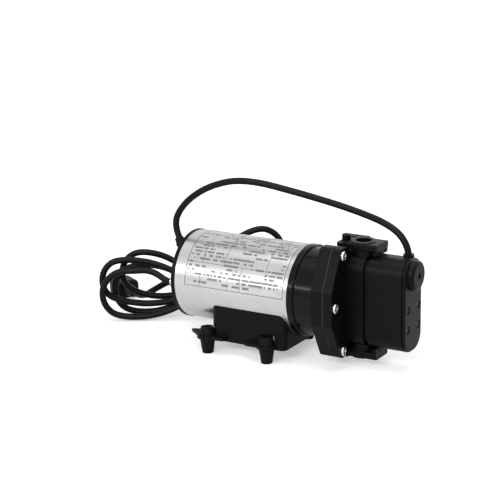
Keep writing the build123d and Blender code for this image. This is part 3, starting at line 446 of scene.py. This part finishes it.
FINISHES = {
    "can": drawn_steel("can_steel", 0.55, 0.26),
    "label": ruled_label("label_foil", 0.54, 0.27),
    "black_plastic": moulded_plastic("head_plastic", 0.0025, 0.36, mirror=0.09),
    "gloss_black": moulded_plastic("bell_enamel", 0.0015, 0.18, 0.0008, 0.1, 0.1),
    "rubber": soft_rubber("foot_rubber", 0.003, 0.6, 0.1),
    "cord_jacket": soft_rubber("cord_jacket", 0.004, 0.4, 0.1),
    "black_screw": plain_metal("blackened_steel", (0.02, 0.02, 0.021), 0.45),
    "zinc_screw": plain_metal("zinc_plate", (0.86, 0.86, 0.85), 0.24),
    "steel": plain_metal("ground_steel", (0.62, 0.63, 0.64), 0.3),
    "copper": plain_metal("copper_wire", (0.78, 0.38, 0.22), 0.34),
    "lamination": cast_body("core_sheets", (0.22, 0.22, 0.24), 0.5, metallic=1.0),
    "ferrite": cast_body("ferrite", (0.07, 0.07, 0.08), 0.7),
    "carbon": cast_body("brush_carbon", (0.03, 0.03, 0.03), 0.6),
    "inner_plastic": cast_body("nylon", (0.62, 0.60, 0.54), 0.45),
    "elastomer": soft_rubber("elastomer", 0.03, 0.55),
    "alloy": cast_body("cast_alloy", (0.60, 0.61, 0.63), 0.42, metallic=1.0),
    "brass": plain_metal("brass", (0.80, 0.62, 0.30), 0.28),
}


def add_piece(name, mesh, slot):
    """Links a modelled piece to the pump body and gives it its slot and finish."""
    data = bpy.data.meshes.new(name)
    bmesh.ops.recalc_face_normals(mesh, faces=mesh.faces)
    mesh.to_mesh(data)
    mesh.free()
    data.shade_smooth()
    piece = bpy.data.objects.new(name, data)
    bpy.context.scene.collection.objects.link(piece)
    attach(piece, "pump_body")
    finish_piece(piece, slot)
    return piece


def finish_piece(piece, slot):
    piece.data.materials.clear()
    piece.data.materials.append(FINISHES[slot])


for subpart in frame["record"]["subparts"]:
    finish_piece(frame["nodes"][subpart["node"]], subpart["material_slot"])
for lead in (power_lead, switch_lead):
    finish_piece(lead, "cord_jacket")


# Bend-relief rings round the tapered tail of the cord gland
GLAND_ROOT = Vector((-73.0, 16.0, 41.0)) * MM
GLAND_ROOT_RADIUS = 6.0 * MM
GLAND_TIP_RADIUS = 4.2 * MM
GLAND_RINGS = 6
GLAND_RING_SECTION = 0.75 * MM
GLAND_FIRST_RING = 0.8
GLAND_SPARE = 0.4
RING_SIDES = 12
RING_STEPS = 40

gland_rings = bmesh.new()
for index in range(GLAND_RINGS):
    share = (index + GLAND_FIRST_RING) / (GLAND_RINGS + GLAND_SPARE)
    centre = GLAND_ROOT.lerp(GLAND_TIP, share)
    reach = GLAND_ROOT_RADIUS + (GLAND_TIP_RADIUS - GLAND_ROOT_RADIUS) * share
    section = Matrix.Translation(centre + Vector((0, 0, reach))) @ Matrix.Rotation(
        math.radians(90), 4, "X"
    )
    loop = bmesh.ops.create_circle(
        gland_rings, segments=RING_SIDES, radius=GLAND_RING_SECTION, matrix=section
    )["verts"]
    edges = list({edge for vert in loop for edge in vert.link_edges})
    bmesh.ops.spin(
        gland_rings,
        geom=loop + edges,
        cent=centre,
        axis=(1, 0, 0),
        angle=math.tau,
        steps=RING_STEPS,
        use_merge=True,
    )
add_piece("gland_rings", gland_rings, "rubber")

# Buckle and free tail of the hank's tie, on the side away from the motor, in millimetres
TIE_HALF_DEPTH = 17.3
TIE_BUCKLE = (9.6, 5.0, 8.0)
TIE_TAIL = (5.4, 1.5, 17.0)
TIE_NOTCH = (4.6, 0.9, 0.9)
TIE_NOTCHES = 7
TIE_NOTCH_LOW = 11.2
TIE_NOTCH_PITCH = 1.7
hank_frame = Matrix.Translation(HANK_WAIST) @ Matrix.Rotation(HANK_ANGLE, 4, "Z")


def tie_block(mesh, size, stand_off, height, edge):
    """Rounded block that stands off the tie, in millimetres in the hank's frame."""
    place = (0, TIE_HALF_DEPTH + stand_off, height)
    block = bmesh.ops.create_cube(mesh, size=1)["verts"]
    bmesh.ops.scale(mesh, vec=Vector(size) * MM, verts=block)
    bmesh.ops.translate(mesh, vec=Vector(place) * MM, verts=block)
    edges = list({rim for vert in block for rim in vert.link_edges})
    bmesh.ops.bevel(
        mesh, geom=edges, offset=edge * MM, affect="EDGES", segments=3, profile=0.5, material=-1
    )


tie = bmesh.new()
tie_block(tie, TIE_BUCKLE, 1.6, 5.0, 1.2)
tie_block(tie, TIE_TAIL, 1.4, 14.5, 0.5)
for notch in range(TIE_NOTCHES):
    tie_block(tie, TIE_NOTCH, 2.3, TIE_NOTCH_LOW + TIE_NOTCH_PITCH * notch, 0.25)
bmesh.ops.transform(tie, matrix=hank_frame, verts=tie.verts)
add_piece("tie_buckle", tie, "rubber")


# Studio
FLOOR_TONE = 0.82
FLOOR_FADE = (0.1, 1.4)
FLOOR_GLOW = 0.4
MIRRORED_GLOW = 0.12
FLOOR_HALF = 6
BACKDROP = 1.0
AMBIENT = 0.36


def floor_material():
    """Pale floor that keeps the shadow near the pump and fades to plain white further out."""
    finish = Finish("floor", shade(FLOOR_TONE)[:3], 0.9)
    x, y = finish.axes()[:2]
    far = (x * x + y * y).ramp(*FLOOR_FADE)
    path = finish.node("ShaderNodeLightPath").socket.node.outputs
    camera = Signal(finish, path["Is Camera Ray"])
    mirrored = Signal(finish, path["Is Glossy Ray"])
    finish.set("Emission Color", (1, 1, 1, 1))
    glow = far * (1 - FLOOR_GLOW) + FLOOR_GLOW
    finish.set("Emission Strength", camera * glow + mirrored * MIRRORED_GLOW)
    return finish.material


def make_floor():
    mesh = bmesh.new()
    bmesh.ops.create_grid(mesh, x_segments=1, y_segments=1, size=FLOOR_HALF)
    data = bpy.data.meshes.new("floor")
    mesh.to_mesh(data)
    mesh.free()
    floor = bpy.data.objects.new("floor", data)
    bpy.context.scene.collection.objects.link(floor)
    data.materials.append(floor_material())


def make_world():
    world = bpy.data.worlds.new("studio")
    bpy.context.scene.world = world
    world.use_nodes = True
    nodes = world.node_tree.nodes
    links = world.node_tree.links
    path = nodes.new("ShaderNodeLightPath").outputs
    seen = path["Is Camera Ray"]
    for ray in ("Is Transmission Ray", "Is Glossy Ray"):
        either = nodes.new("ShaderNodeMath")
        either.operation = "MAXIMUM"
        links.new(seen, either.inputs[0])
        links.new(path[ray], either.inputs[1])
        seen = either.outputs[0]
    strength = nodes.new("ShaderNodeMapRange")
    links.new(seen, strength.inputs["Value"])
    strength.inputs["To Min"].default_value = AMBIENT
    strength.inputs["To Max"].default_value = BACKDROP
    nodes["Background"].inputs["Color"].default_value = (1, 1, 1, 1)
    links.new(strength.outputs[0], nodes["Background"].inputs["Strength"])


def soft_box(name, place, aim, size, power):
    light = bpy.data.lights.new(name, "AREA")
    light.shape = "RECTANGLE"
    light.size, light.size_y = size
    light.energy = power
    lamp = bpy.data.objects.new(name, light)
    bpy.context.scene.collection.objects.link(lamp)
    place = Vector(place)
    lamp.matrix_world = Matrix.Translation(place) @ (
        (Vector(aim) - place).to_track_quat("-Z", "Y").to_matrix().to_4x4()
    )


make_floor()
make_world()
soft_box("key", (0.2, -1.5, 0.9), (0, 0, 0.06), (1.2, 0.3), 19)
soft_box("top", (0.1, -0.1, 1.6), (0, 0, 0.05), (1.4, 1.0), 14)
soft_box("back", (0.2, 1.9, 0.75), (0, 0, 0.09), (1.8, 0.4), 7)
soft_box("strip", (-0.95, -1.45, 0.62), (0, 0, 0.07), (0.9, 0.14), 4.5)
soft_box("front", (1.5, 0.1, 0.5), (0.1, 0, 0.06), (0.8, 0.6), 0.3)
bpy.context.scene.view_settings.view_transform = "Standard"
